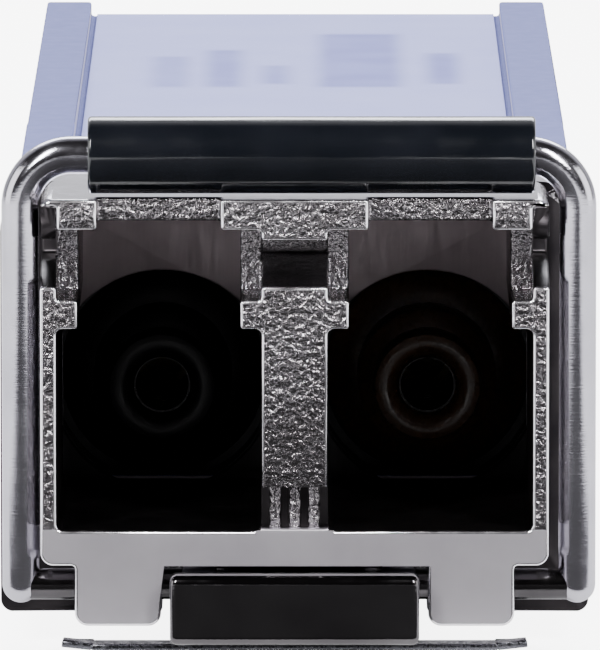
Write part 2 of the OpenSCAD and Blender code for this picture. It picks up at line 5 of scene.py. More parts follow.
import bmesh
import bpy
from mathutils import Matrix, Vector


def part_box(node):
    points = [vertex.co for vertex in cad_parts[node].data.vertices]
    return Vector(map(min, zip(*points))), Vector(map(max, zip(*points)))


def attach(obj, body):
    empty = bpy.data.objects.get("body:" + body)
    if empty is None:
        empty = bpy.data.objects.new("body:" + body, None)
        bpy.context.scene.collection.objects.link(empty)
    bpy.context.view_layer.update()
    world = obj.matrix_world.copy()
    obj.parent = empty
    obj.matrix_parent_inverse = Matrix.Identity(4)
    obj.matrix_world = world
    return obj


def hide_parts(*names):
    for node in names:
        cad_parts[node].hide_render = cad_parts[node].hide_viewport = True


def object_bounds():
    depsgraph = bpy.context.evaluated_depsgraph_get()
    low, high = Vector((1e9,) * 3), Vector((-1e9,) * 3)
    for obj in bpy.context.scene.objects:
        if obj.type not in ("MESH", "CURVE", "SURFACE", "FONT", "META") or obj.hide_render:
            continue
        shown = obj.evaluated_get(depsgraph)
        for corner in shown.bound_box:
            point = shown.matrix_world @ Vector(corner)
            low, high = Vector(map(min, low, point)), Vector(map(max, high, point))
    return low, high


MM = 0.001
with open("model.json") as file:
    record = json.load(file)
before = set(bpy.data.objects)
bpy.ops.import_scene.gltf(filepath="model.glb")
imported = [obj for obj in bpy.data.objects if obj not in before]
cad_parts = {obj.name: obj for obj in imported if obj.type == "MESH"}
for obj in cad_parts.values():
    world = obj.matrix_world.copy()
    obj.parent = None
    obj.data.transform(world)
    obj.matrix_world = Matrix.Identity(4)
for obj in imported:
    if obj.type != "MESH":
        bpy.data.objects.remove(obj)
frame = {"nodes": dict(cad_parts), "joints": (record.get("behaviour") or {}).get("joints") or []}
cad_low, cad_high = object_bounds()
nodes = frame["nodes"]
joints = {joint["name"]: joint for joint in frame["joints"]}

# ---------------------------------------------------------------- camera

NOSE_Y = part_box("housing")[0][1]
CAMERA_DISTANCE = 317.4 * MM
CAMERA_HEIGHT = 49.38 * MM
CAMERA_SIDE = 0.125 * MM
CAMERA_PITCH = math.radians(7.57)
CAMERA_LENS = 771

camera_data = bpy.data.cameras.new("camera")
camera_data.sensor_width = 36
camera_data.lens = CAMERA_LENS
camera_data.clip_start = 0.01
camera_data.clip_end = 10
camera = bpy.data.objects.new("camera", camera_data)
bpy.context.collection.objects.link(camera)
camera.location = (CAMERA_SIDE, NOSE_Y - CAMERA_DISTANCE, CAMERA_HEIGHT)
camera.rotation_euler = (math.pi / 2 - CAMERA_PITCH, 0, 0)
bpy.context.scene.camera = camera


# ---------------------------------------------------------------- node helpers

class Shader:
    """A material's node tree, with short calls for the nodes that the materials below share."""

    def __init__(self, name):
        self.material = bpy.data.materials.new(name)
        self.material.use_nodes = True
        self.tree = self.material.node_tree
        self.bsdf = self.tree.nodes["Principled BSDF"]
        coordinates = self.tree.nodes.new("ShaderNodeTexCoord")
        scale = self.tree.nodes.new("ShaderNodeVectorMath")
        scale.operation = "SCALE"
        scale.inputs["Scale"].default_value = 1 / MM
        self.tree.links.new(coordinates.outputs["Object"], scale.inputs[0])
        self.position = scale.outputs[0]

    def add(self, kind, inputs=None, **settings):
        node = self.tree.nodes.new(kind)
        for key, value in settings.items():
            setattr(node, key, value)
        for key, value in (inputs or {}).items():
            if isinstance(value, bpy.types.NodeSocket):
                self.tree.links.new(value, node.inputs[key])
            else:
                node.inputs[key].default_value = value
        return node

    def stretch(self, x, y, z):
        node = self.add("ShaderNodeMapping", {"Vector": self.position, "Scale": (x, y, z)})
        return node.outputs[0]

    def noise(self, scale, detail=2.0, rough=0.5, at=None):
        node = self.add("ShaderNodeTexNoise", {
            "Vector": at or self.position, "Scale": scale, "Detail": detail, "Roughness": rough})
        return node.outputs["Fac"]

    def cells(self, scale, at=None, feature="F1"):
        node = self.add("ShaderNodeTexVoronoi", {"Vector": at or self.position, "Scale": scale},
                        feature=feature)
        return node.outputs["Distance"]

    def axis(self, name):
        node = self.add("ShaderNodeSeparateXYZ", {"Vector": self.position})
        return node.outputs[name]

    def math(self, operation, first, second=0.0, third=0.0):
        node = self.add("ShaderNodeMath", operation=operation)
        for index, value in enumerate((first, second, third)):
            if isinstance(value, bpy.types.NodeSocket):
                self.tree.links.new(value, node.inputs[index])
            else:
                node.inputs[index].default_value = value
        return node.outputs[0]

    def remap(self, value, low, high, to_low, to_high):
        node = self.add("ShaderNodeMapRange", {
            "Value": value, "From Min": low, "From Max": high, "To Min": to_low, "To Max": to_high},
            interpolation_type="SMOOTHSTEP")
        return node.outputs[0]

    def ramp(self, value, *stops):
        node = self.add("ShaderNodeValToRGB", {"Fac": value})
        ramp = node.color_ramp
        while len(ramp.elements) < len(stops):
            ramp.elements.new(0.5)
        for element, (place, colour) in zip(ramp.elements, stops):
            element.position = place
            element.color = (*colour, 1)
        return node.outputs["Color"]

    def mix(self, factor, first, second):
        node = self.add("ShaderNodeMix", {"Factor": factor}, data_type="RGBA")
        for key, value in ((6, first), (7, second)):
            if isinstance(value, bpy.types.NodeSocket):
                self.tree.links.new(value, node.inputs[key])
            else:
                node.inputs[key].default_value = (*value, 1)
        return node.outputs[2]

    def bump(self, height, depth_mm, strength=1.0, normal=None):
        inputs = {"Height": height, "Distance": depth_mm * MM, "Strength": strength}
        if normal is not None:
            inputs["Normal"] = normal
        return self.add("ShaderNodeBump", inputs).outputs[0]

    def wire(self, **sockets):
        for key, value in sockets.items():
            name = {"colour": "Base Color", "roughness": "Roughness", "normal": "Normal",
                    "metallic": "Metallic", "coat": "Coat Weight", "coat_roughness": "Coat Roughness",
                    "transmission": "Transmission Weight", "ior": "IOR", "alpha": "Alpha",
                    "specular": "Specular IOR Level"}[key]
            target = self.bsdf.inputs[name]
            if isinstance(value, bpy.types.NodeSocket):
                self.tree.links.new(value, target)
            elif key == "colour":
                target.default_value = (*value, 1)
            else:
                target.default_value = value
        return self.material


# ---------------------------------------------------------------- materials

def pebbled_nickel(name="pebbled_nickel", depth=0.085, scale=6.0):
    """Plated casting with the coarse grain of a spark-eroded mould, polished along its low lip."""
    s = Shader(name)
    upper = s.remap(s.axis("Z"), LIP_TOP - 0.01, LIP_TOP + 0.01, 0.0, 1.0)
    coarse = s.noise(scale, 1.5, 0.45)
    fine = s.noise(scale * 2.7, 2.0, 0.5)
    grain = s.math("MULTIPLY_ADD", fine, 0.35, coarse)
    rubbed = s.ramp(s.noise(0.7, 3.0), (0.35, (0.60, 0.57, 0.62)), (0.65, (0.66, 0.63, 0.68)))
    grained = s.ramp(s.noise(0.7, 3.0), (0.35, (0.22, 0.205, 0.215)), (0.65, (0.28, 0.265, 0.28)))
    tint = s.mix(upper, rubbed, grained)
    rough = s.remap(upper, 0.0, 1.0, 0.46, 0.16)
    height = s.math("MULTIPLY", grain, upper)
    return s.wire(colour=tint, roughness=rough, metallic=1.0, normal=s.bump(height, depth))


def satin_nickel(name="satin_nickel", low=(0.60, 0.57, 0.62), high=(0.66, 0.63, 0.68), rough=0.46):
    """Plated casting where the mould was polished: faint ripple, a few pits, light rubbing."""
    s = Shader(name)
    ripple = s.noise(2.2, 3.0, 0.55)
    pits = s.remap(s.cells(2.6), 0.03, 0.09, 0.0, 1.0)
    height = s.math("MULTIPLY_ADD", pits, 0.15, ripple)
    tint = s.ramp(s.noise(0.9, 4.0), (0.3, low), (0.7, high))
    roughness = s.remap(s.noise(3.0, 4.0), 0.3, 0.7, rough - 0.03, rough + 0.04)
    return s.wire(colour=tint, roughness=roughness, metallic=1.0, normal=s.bump(height, 0.004))


def bright_wire(name="bright_wire", low=(0.42, 0.41, 0.46), high=(0.52, 0.51, 0.56)):
    """Polished plated wire with fine rings and rubbed patches."""
    s = Shader(name)
    scratches = s.noise(5.0, 4.0, 0.6, at=s.stretch(0.4, 0.4, 5.0))
    tint = s.ramp(s.noise(0.6, 3.0), (0.3, low), (0.7, high))
    rough = s.remap(s.noise(2.0, 4.0), 0.35, 0.75, 0.13, 0.22)
    return s.wire(colour=tint, roughness=rough, metallic=1.0, normal=s.bump(scratches, 0.003))


def polished_steel():
    """Lever bar: mirror polish with faint hairlines along the bar."""
    s = Shader("polished_steel")
    hairlines = s.noise(9.0, 3.0, 0.6, at=s.stretch(0.15, 2.0, 2.0))
    tint = s.ramp(s.noise(0.5, 3.0), (0.3, (0.08, 0.075, 0.08)), (0.7, (0.12, 0.115, 0.12)))
    rough = s.remap(s.noise(1.6, 4.0), 0.3, 0.7, 0.05, 0.12)
    return s.wire(colour=tint, roughness=rough, metallic=1.0, normal=s.bump(hairlines, 0.0012))


def rolled_steel(name, low, high, rough=0.3):
    """Thin sheet with the rolling direction showing."""
    s = Shader(name)
    lines = s.noise(10.0, 4.0, 0.6, at=s.stretch(1.0, 0.08, 1.0))
    tint = s.ramp(s.noise(0.8, 4.0), (0.3, low), (0.7, high))
    roughness = s.remap(lines, 0.3, 0.7, rough - 0.08, rough + 0.1)
    return s.wire(colour=tint, roughness=roughness, metallic=1.0, normal=s.bump(lines, 0.004))


def shield_sheet():
    """Dull rolled sheet with painted shade that darkens it towards the bottom of the ports."""
    s = Shader("shield_sheet")
    lines = s.noise(10.0, 4.0, 0.6, at=s.stretch(1.0, 1.0, 0.08))
    sheet = s.ramp(s.noise(0.8, 4.0), (0.3, (0.58, 0.49, 0.52)), (0.7, (0.75, 0.65, 0.67)))
    # Painted shade: the sheet fades to near black from 8.5 mm down to 5 mm height.
    depth = s.remap(s.axis("Z"), 5.0, 8.5, 0.0, 1.0)
    tint = s.mix(depth, (0.008, 0.007, 0.008), sheet)
    return s.wire(colour=tint, roughness=s.remap(lines, 0.3, 0.7, 0.42, 0.6), metallic=0.6,
                  normal=s.bump(lines, 0.004))


def moulding(name, low, high, rough=0.35, coat=0.0, scale=5.0, depth=0.006, specular=0.5):
    """Moulded polymer with slight mottling and a faint surface texture."""
    s = Shader(name)
    tint = s.ramp(s.noise(scale * 0.4, 4.0), (0.3, low), (0.7, high))
    roughness = s.remap(s.noise(scale, 4.0), 0.3, 0.7, rough - 0.06, rough + 0.06)
    return s.wire(colour=tint, specular=specular, roughness=roughness, coat=coat, coat_roughness=0.1,
                  normal=s.bump(s.noise(scale * 4, 3.0), depth))


def black_sleeve():
    """Glossy black tube with faint lengthwise drawing lines and soft waviness."""
    s = Shader("black_sleeve")
    lines = s.noise(4.0, 3.0, 0.5, at=s.stretch(0.06, 1.0, 1.0))
    tint = s.ramp(s.noise(0.8, 3.0), (0.3, (0.003, 0.004, 0.006)), (0.7, (0.006, 0.007, 0.010)))
    rough = s.remap(s.noise(1.1, 3.0), 0.3, 0.7, 0.10, 0.18)
    return s.wire(colour=tint, roughness=rough, coat=0.3, coat_roughness=0.08,
                  normal=s.bump(lines, 0.01))


def brass_plating(name, low, high, rough=0.22):
    s = Shader(name)
    tint = s.ramp(s.noise(1.4, 4.0), (0.3, low), (0.7, high))
    roughness = s.remap(s.noise(4.0, 4.0), 0.3, 0.7, rough - 0.06, rough + 0.08)
    return s.wire(colour=tint, roughness=roughness, metallic=1.0, normal=s.bump(s.noise(12.0), 0.004))


def amber_moulding():
    """Translucent amber polymer, dark all over as painted shade for the depth of the port."""
    s = Shader("amber_polymer")
    # Painted shade: the amber is given dark tones all over.
    tint = s.ramp(s.noise(1.2, 4.0), (0.3, (0.060, 0.027, 0.010)), (0.7, (0.11, 0.050, 0.020)))
    rough = s.remap(s.noise(5.0, 3.0), 0.3, 0.7, 0.22, 0.36)
    return s.wire(colour=tint, roughness=rough, coat=0.4, coat_roughness=0.15,
                  normal=s.bump(s.noise(14.0, 3.0), 0.005))


def label_print():
    """Pale film with plain soft grey bars that run along the body."""
    s = Shader("label_film")
    x, y = s.axis("X"), s.axis("Y")
    soft = 0.35

    def window(value, low, high):
        rise = s.remap(value, low - soft, low + soft, 0.0, 1.0)
        fall = s.remap(value, high - soft, high + soft, 1.0, 0.0)
        return s.math("MULTIPLY", rise, fall)

    bars = None
    for centre, width, start, end, tone in LABEL_BARS:
        bar = s.math("MULTIPLY", window(x, centre - width / 2, centre + width / 2),
                     window(y, start, end))
        bar = s.math("MULTIPLY", bar, tone)
        bars = bar if bars is None else s.math("MAXIMUM", bars, bar)
    worn = s.remap(s.noise(0.35, 1.0), 0.3, 0.7, 0.75, 1.0)
    ink = s.math("MULTIPLY", bars, worn)
    paper = s.ramp(s.noise(0.5, 3.0), (0.3, (0.46, 0.49, 0.88)), (0.7, (0.49, 0.52, 0.90)))
    tint = s.mix(ink, paper, (0.16, 0.17, 0.48))
    rough = s.remap(s.noise(6.0, 3.0), 0.3, 0.7, 0.35, 0.5)
    return s.wire(colour=tint, roughness=rough, specular=0.0, normal=s.bump(s.noise(16.0, 3.0), 0.003))


def circuit_mask():
    """Green solder mask with copper traces faintly raised under it."""
    s = Shader("solder_mask")
    traces = s.add("ShaderNodeTexBrick", {
        "Vector": s.position, "Scale": 1.2, "Mortar Size": 0.03, "Brick Width": 1.6,
        "Row Height": 0.35}).outputs["Fac"]
    tint = s.mix(traces, (0.010, 0.085, 0.035), (0.03, 0.20, 0.07))
    rough = s.remap(s.noise(7.0, 3.0), 0.3, 0.7, 0.22, 0.34)
    return s.wire(colour=tint, roughness=rough, coat=0.3, coat_roughness=0.12,
                  normal=s.bump(traces, 0.01))


def lens_glass():
    s = Shader("lens_glass")
    rough = s.remap(s.noise(4.0), 0.3, 0.7, 0.01, 0.04)
    return s.wire(colour=(0.88, 0.94, 0.97), roughness=rough, transmission=1.0, ior=1.5,
                  normal=s.bump(s.noise(3.0), 0.0005))


# Height of the smooth lip's top edge; the casting is grained above it.
LIP_TOP = 2.43
# Bars on the label: centre and width across, start and end along the body, darkness.
LABEL_BARS = (
    (-3.25, 0.95, 30.0, 37.0, 0.42),
    (-1.85, 0.9, 30.0, 38.5, 0.55),
    (-0.5, 0.7, 30.7, 34.9, 0.48),
    (1.68, 2.1, 30.0, 42.3, 0.62),
    (3.85, 0.8, 30.7, 37.8, 0.60),
)

pebbled = pebbled_nickel()
satin = satin_nickel()
rail_coat = moulding("rail_coat", (0.22, 0.24, 0.48), (0.25, 0.27, 0.52), 0.6, specular=0.0)
# Painted shade: a near-black copy of the satin nickel for faces inside the ports, the side pockets and
# the flange's front face.
shaded_port_nickel = satin_nickel("shaded_port_nickel", (0.020, 0.018, 0.020), (0.040, 0.036, 0.038), 0.35)
# Painted shade: a darker, glossier copy of the satin nickel for the upward faces on top of the nose.
shaded_top_nickel = satin_nickel("shaded_top_nickel", (0.48, 0.47, 0.52), (0.56, 0.55, 0.60), 0.16)
# Painted highlight: a near-white copy of the satin nickel for the rounded edges of the front face.
highlight_rim_nickel = satin_nickel("highlight_rim_nickel", (0.86, 0.84, 0.88), (0.92, 0.90, 0.94), 0.2)
wire_metal = bright_wire()
# Painted shade: a near-black copy of the wire for the pivot pins.
shaded_pin_wire = bright_wire("shaded_pin_wire", (0.05, 0.048, 0.05), (0.09, 0.085, 0.09))
lever_metal = polished_steel()
spring_metal = rolled_steel("spring_steel", (0.46, 0.45, 0.46), (0.58, 0.57, 0.58), 0.24)
plate_metal = rolled_steel("dark_sheet", (0.10, 0.10, 0.115), (0.15, 0.15, 0.165), 0.26)
shield_metal = shield_sheet()
screw_metal = rolled_steel("screw_steel", (0.28, 0.28, 0.30), (0.38, 0.38, 0.40), 0.32)
sleeve_black = black_sleeve()
black_polymer = moulding("black_polymer", (0.003, 0.003, 0.004), (0.007, 0.007, 0.008), 0.4)
amber_polymer = amber_moulding()
# Painted shade: the zirconia sleeves are near black instead of white.
ceramic = moulding("zirconia", (0.010, 0.010, 0.011), (0.018, 0.018, 0.019), 0.3)
gold = brass_plating("gold_plate", (0.70, 0.47, 0.16), (0.83, 0.60, 0.24))
# Painted shade: a near-black copy of the gold plating for the cans and submounts inside the body.
shaded_can_gold = brass_plating("gold_can", (0.04, 0.032, 0.018), (0.06, 0.048, 0.028), 0.45)
film = moulding("amber_film", (0.40, 0.18, 0.03), (0.52, 0.25, 0.05), 0.3, coat=0.5)
mask = circuit_mask()
epoxy = moulding("chip_epoxy", (0.018, 0.018, 0.020), (0.034, 0.034, 0.037), 0.5, scale=9.0)
tan_ceramic = moulding("ceramic_tan", (0.30, 0.21, 0.13), (0.42, 0.31, 0.20), 0.45)
ferrite = moulding("ferrite", (0.06, 0.055, 0.06), (0.11, 0.10, 0.11), 0.5)
pad_silicone = moulding("thermal_pad", (0.30, 0.38, 0.48), (0.38, 0.46, 0.56), 0.6)
glass = lens_glass()
label_film = label_print()

CAD_MATERIALS = {
    "latch_pin": spring_metal, "latch_spring": spring_metal, "cover_screws": screw_metal,
    "osa_holder": black_polymer, "transmit_sleeve": ceramic, "receive_sleeve": ceramic,
    "transmit_can": shaded_can_gold, "receive_can": shaded_can_gold, "transmit_lens": glass,
    "receive_lens": glass, "laser_submount": shaded_can_gold, "photodiode_submount": shaded_can_gold,
    "transmit_pins": gold, "receive_pins": gold, "transmit_flex": film, "receive_flex": film,
    "circuit_board": mask, "edge_contacts": gold, "driver_chip": epoxy, "amplifier_chip": epoxy,
    "controller_chip": epoxy, "memory_chip": epoxy, "chip_resistors": epoxy,
    "chip_capacitors": tan_ceramic, "power_inductors": ferrite, "thermal_pad": pad_silicone,
}


def paint(obj, *materials):
    obj.data.materials.clear()
    for material in materials:
        obj.data.materials.append(material)


for node_name, cad_material in CAD_MATERIALS.items():
    paint(nodes[node_name], cad_material)


# ---------------------------------------------------------------- mesh helpers

def link_mesh(name, bm):
    mesh = bpy.data.meshes.new(name)
    bm.to_mesh(mesh)
    bm.free()
    obj = bpy.data.objects.new(name, mesh)
    bpy.context.collection.objects.link(obj)
    return obj


def shade_smooth(obj, angle=35):
    for polygon in obj.data.polygons:
        polygon.use_smooth = True
    for edge in obj.data.edges:
        edge.use_edge_sharp = False
    obj.data.set_sharp_from_angle(angle=math.radians(angle))


def apply_modifiers(obj):
    graph = bpy.context.evaluated_depsgraph_get()
    graph.update()
    mesh = bpy.data.meshes.new_from_object(obj.evaluated_get(graph))
    obj.modifiers.clear()
    obj.data = mesh


def rounded_copy(node, name, radius_mm, segments=3, angle=30, merge=False, keep=None, wide=None):
    """A CAD node's mesh with its sharp edges rounded.

    merge joins its flat triangles into faces first. keep says of an edge whether it is rounded.
    wide gives a second test and radius, for edges that are rounded more than the others."""
    bm = bmesh.new()
    bm.from_mesh(nodes[node].data)
    bmesh.ops.remove_doubles(bm, verts=bm.verts, dist=0.0005 * MM)
    if merge:
        bmesh.ops.dissolve_limit(bm, angle_limit=math.radians(0.8), verts=bm.verts, edges=bm.edges)

    def sharp_edges():
        return [edge for edge in bm.edges
                if len(edge.link_faces) == 2
                and edge.calc_face_angle() > math.radians(angle)
                and (keep is None or keep(edge))]

    def round_off(edges, offset_mm):
        bmesh.ops.bevel(bm, geom=edges, offset=offset_mm * MM, offset_type="OFFSET",
                        segments=segments, profile=0.5, affect="EDGES", clamp_overlap=False,
                        miter_outer="ARC")

    if wide is None:
        round_off(sharp_edges(), radius_mm)
    else:
        chosen, wide_mm = wide
        round_off([edge for edge in sharp_edges() if chosen(edge)], wide_mm)
        round_off([edge for edge in sharp_edges() if not chosen(edge)], radius_mm)
    obj = link_mesh(name, bm)
    shade_smooth(obj, 50)
    flatten = obj.modifiers.new("flat_faces", "WEIGHTED_NORMAL")
    flatten.keep_sharp = True
    flatten.weight = 80
    cut_up = obj.modifiers.new("triangles", "TRIANGULATE")
    cut_up.min_vertices = 5
    cut_up.keep_custom_normals = True
    apply_modifiers(obj)
    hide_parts(node)
    return obj


def sweep(bm, path, radii, normal, sides=48):
    """Adds a round tube along a flat path, closed at both ends; normal is the path plane's."""
    rings = []
    for index, (point, radius) in enumerate(zip(path, radii)):
        before = path[max(index - 1, 0)]
        after = path[min(index + 1, len(path) - 1)]
        along = (after - before).normalized()
        across = along.cross(normal).normalized()
        ring = []
        for k in range(sides):
            turn = 2 * math.pi * k / sides
            offset = across * math.cos(turn) + normal * math.sin(turn)
            ring.append(bm.verts.new(point + offset * radius))
        rings.append(ring)
    for first, second in zip(rings, rings[1:]):
        for k in range(sides):
            n = (k + 1) % sides
            bm.faces.new((first[k], first[n], second[n], second[k]))
    bm.faces.new(list(reversed(rings[0])))
    bm.faces.new(rings[-1])


def arc(centre, radius, start, end, u, v, steps=20):
    """Points on an arc in the plane of u and v, from one angle to another in degrees."""
    points = []
    for k in range(steps + 1):
        turn = math.radians(start + (end - start) * k / steps)
        points.append(centre + u * (radius * math.cos(turn)) + v * (radius * math.sin(turn)))
    return points


def turned(name, profile, centre, sides=64):
    """A closed profile of (along X, radius) points turned round an X axis through centre."""
    bm = bmesh.new()
    rings = []
    for k in range(sides):
        turn = 2 * math.pi * k / sides
        rings.append([bm.verts.new(centre + Vector((x, r * math.cos(turn), r * math.sin(turn))))
                      for x, r in profile])
    count = len(profile)
    for k in range(sides):
        first, second = rings[k], rings[(k + 1) % sides]
        for i in range(count):
            n = (i + 1) % count
            bm.faces.new((first[i], first[n], second[n], second[i]))
    bmesh.ops.recalc_face_normals(bm, faces=bm.faces)
    return link_mesh(name, bm)


# ---------------------------------------------------------------- housing and cover

HOUSING_EDGE = 0.07
SHORT_EDGE = 0.25 * MM
STEM_FOOT_X = 0.9 * MM
STEM_FOOT_Z = 3.6 * MM
PORT_LOW = 1.75 * MM
TAB_Z = 7.0 * MM
SILL_Z = 8.05 * MM
PANEL_X = 5.5 * MM
NOSE_TOP = 9.9 * MM
BEHIND_STOP = -0.2 * MM
PORT_DEPTH = 0.5 * MM
PANEL_DEPTH = 0.2 * MM
FLANGE_DEPTH = 3.3 * MM
FLANGE_END = FLANGE_DEPTH + 1 * MM
RIM_DEPTH = 0.12 * MM
FRONT_SLACK = 0.005 * MM
RIB_DEPTH = 1 * MM
SLANTED = 0.99
FACING = 0.9
UPWARDS = 0.3
# Places in the housing's list of materials; the port and top places hold painted shade, the rim place a
# painted highlight.
PEBBLED, RAIL, SHADED_PORT, SHADED_TOP, SATIN, RIM_HIGHLIGHT = range(6)


def housing_edge(edge):
    """Long edges and every edge of the front face, apart from the fine ribs at the stem's foot."""
    first, second = (vertex.co for vertex in edge.verts)
    in_front = max(first.y, second.y) < NOSE_Y + FRONT_SLACK
    middle = (first + second) / 2
    near_front = middle.y < NOSE_Y + RIB_DEPTH
    at_ribs = abs(middle.x) < STEM_FOOT_X and middle.z < STEM_FOOT_Z and near_front
    return (in_front or edge.calc_length() > SHORT_EDGE) and not at_ribs


def housing_finish_and_painted_light(centre, normal):
    """Which of the housing's finishes, painted shade or painted highlight a face has: each is a place
    in its list of materials.
    """
    depth = centre.y - NOSE_Y
    # The rounded edges of the front face get a painted highlight.
    if depth < RIM_DEPTH and max(abs(part) for part in normal) < SLANTED:
        return RIM_HIGHLIGHT
    if centre.y > BEHIND_STOP:
        return RAIL if normal.z > UPWARDS else SATIN
    # Faces inside the ports get painted shade.
    if depth > PORT_DEPTH and abs(centre.x) < PANEL_X and PORT_LOW < centre.z < TAB_Z:
        return SHADED_PORT
    # Faces in the side pockets get painted shade; the deeper ones stay pebbled.
    if depth > PANEL_DEPTH and abs(centre.x) > PANEL_X and SILL_Z < centre.z < NOSE_TOP:
        return SHADED_PORT if depth < FLANGE_DEPTH else PEBBLED
    # The flange's front face gets painted shade.
    if FLANGE_DEPTH < depth < FLANGE_END and normal.y < -FACING:
        return SHADED_PORT
    # Upward faces on top of the nose get painted shade.
    if normal.z > FACING and centre.z > NOSE_TOP:
        return SHADED_TOP
    return PEBBLED


housing = rounded_copy("housing", "housing_shell", HOUSING_EDGE, 2, merge=True, keep=housing_edge)
paint(housing, pebbled, rail_coat, shaded_port_nickel, shaded_top_nickel, satin, highlight_rim_nickel)
for polygon in housing.data.polygons:
    polygon.material_index = housing_finish_and_painted_light(polygon.center, polygon.normal)
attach(housing, "body")

cover = rounded_copy("bottom_cover", "cover_plate", 0.06)
paint(cover, satin)
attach(cover, "body")

label = rounded_copy("top_label", "label_film", 0.02, 2)
paint(label, label_film)
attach(label, "body")

collar = rounded_copy("emi_collar", "spring_collar", 0.02, 2)
paint(collar, spring_metal)
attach(collar, "body")

shield = rounded_copy("osa_shield", "shield_plate", 0.04, 2)
paint(shield, shield_metal)
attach(shield, "body")

PORT_X = 3.125 * MM
PORT_Z = 4.75 * MM
MOUTH_R = 0.67 * MM
TIP_R = 1.27 * MM
RING_R = 1.64 * MM
FLANGE_R = 2.39 * MM


def turned_barrel(name, node, x, material):
    """Barrel turned round its optical axis: countersunk mouth, slim tip, step ring and flange."""
    low, high = (Vector(corner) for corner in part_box(node))
    tip = low.y
    profile = [(tip + 0.35 * MM, MOUTH_R), (tip + 0.12 * MM, MOUTH_R + 0.10 * MM),
               (tip + 0.03 * MM, MOUTH_R + 0.22 * MM), (tip, MOUTH_R + 0.30 * MM),
               (tip, TIP_R - 0.14 * MM), (tip + 0.04 * MM, TIP_R - 0.04 * MM),
               (tip + 0.14 * MM, TIP_R), (tip + 1.2 * MM, TIP_R),
               (tip + 1.3 * MM, RING_R - 0.1 * MM), (tip + 1.4 * MM, RING_R),
               (tip + 2.9 * MM, RING_R), (tip + 3.0 * MM, FLANGE_R - 0.1 * MM),
               (tip + 3.1 * MM, FLANGE_R), (high.y, FLANGE_R), (high.y, MOUTH_R + 0.2 * MM),
               (tip + 0.55 * MM, MOUTH_R + 0.2 * MM), (tip + 0.5 * MM, MOUTH_R)]
    bm = bmesh.new()
    rings = []
    sides = 72
    for k in range(sides):
        turn = 2 * math.pi * k / sides
        rings.append([bm.verts.new((x + r * math.cos(turn), y, PORT_Z + r * math.sin(turn)))
                      for y, r in profile])
    for k in range(sides):
        first, second = rings[k], rings[(k + 1) % sides]
        for i in range(len(profile)):
            n = (i + 1) % len(profile)
            bm.faces.new((first[i], first[n], second[n], second[i]))
    bmesh.ops.recalc_face_normals(bm, faces=bm.faces)
    barrel = link_mesh(name, bm)
    shade_smooth(barrel, 40)
    paint(barrel, material)
    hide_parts(node)
    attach(barrel, "body")


turned_barrel("transmit_barrel_moulding", "transmit_barrel", -PORT_X, black_polymer)
turned_barrel("receive_barrel_moulding", "receive_barrel", PORT_X, amber_polymer)

# ---------------------------------------------------------------- bail

WIRE_R = 0.43 * MM
PIN_R = 0.36 * MM
TOP_BEND_R = 1.2 * MM
CAM_L = 0.8 * MM
CAM_OUT_X = 2.7 * MM
CAM_THROW = 0.46 * MM
END_STEPS = 8
PIN_SET_BACK = 0.4
wire_low, wire_high = (Vector(corner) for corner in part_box("bail_wire"))
sleeve_low, sleeve_high = (Vector(corner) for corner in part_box("bail_sleeve"))
pivot = Vector(joints["bail_swing"]["pos_m"])
pivot.x = (wire_low.x + wire_high.x) / 2
bar_centre = (sleeve_low + sleeve_high) / 2
rise = Vector((0, bar_centre.y - pivot.y, bar_centre.z - pivot.z))
bail_height = rise.length
up = rise.normalized()
right = Vector((1, 0, 0))
plane_normal = right.cross(up)
arm_x = (wire_high.x - wire_low.x) / 2 - WIRE_R


def bail_point(x, height):
    return pivot + right * x + up * height


def bail_loop():
    """Centreline and radius from the left arm's round foot over the crossbar to the right one."""
    left_foot = []
    for k in range(END_STEPS):
        turn = math.radians(2 + 88 * k / END_STEPS)
        left_foot.append((bail_point(-arm_x, -WIRE_R * math.cos(turn)), WIRE_R * math.sin(turn)))
    right_foot = [(bail_point(arm_x, -WIRE_R * math.cos(math.radians(2 + 88 * k / END_STEPS))),
                   WIRE_R * math.sin(math.radians(2 + 88 * k / END_STEPS)))
                  for k in reversed(range(END_STEPS))]
    bends = arc(bail_point(-arm_x + TOP_BEND_R, bail_height - TOP_BEND_R), TOP_BEND_R, 180, 90,
                right, up, 28)
    bends += arc(bail_point(arm_x - TOP_BEND_R, bail_height - TOP_BEND_R), TOP_BEND_R, 90, 0,
                 right, up, 28)
    middle = [bail_point(-arm_x, 0)] + bends + [bail_point(arm_x, 0)]
    return left_foot + [(point, WIRE_R) for point in middle] + right_foot


bail_mesh = bmesh.new()
loop = bail_loop()
sweep(bail_mesh, [point for point, radius in loop], [radius for point, radius in loop], plane_normal)
loop_faces = len(bail_mesh.faces)
for side in (-1, 1):
    pivot_pin = [bail_point(side * CAM_OUT_X, 0), bail_point(side * (arm_x - WIRE_R * PIN_SET_BACK), 0)]
    sweep(bail_mesh, pivot_pin, [PIN_R, PIN_R], plane_normal)
bmesh.ops.recalc_face_normals(bail_mesh, faces=bail_mesh.faces)
bail = link_mesh("bail_wire_bent", bail_mesh)
shade_smooth(bail, 50)
paint(bail, wire_metal, shaded_pin_wire)
# The pivot pins take the second, darker wire material: painted shade.
for polygon in bail.data.polygons:
    polygon.material_index = 0 if polygon.index < loop_faces else 1
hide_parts("bail_wire")
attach(bail, "bail")


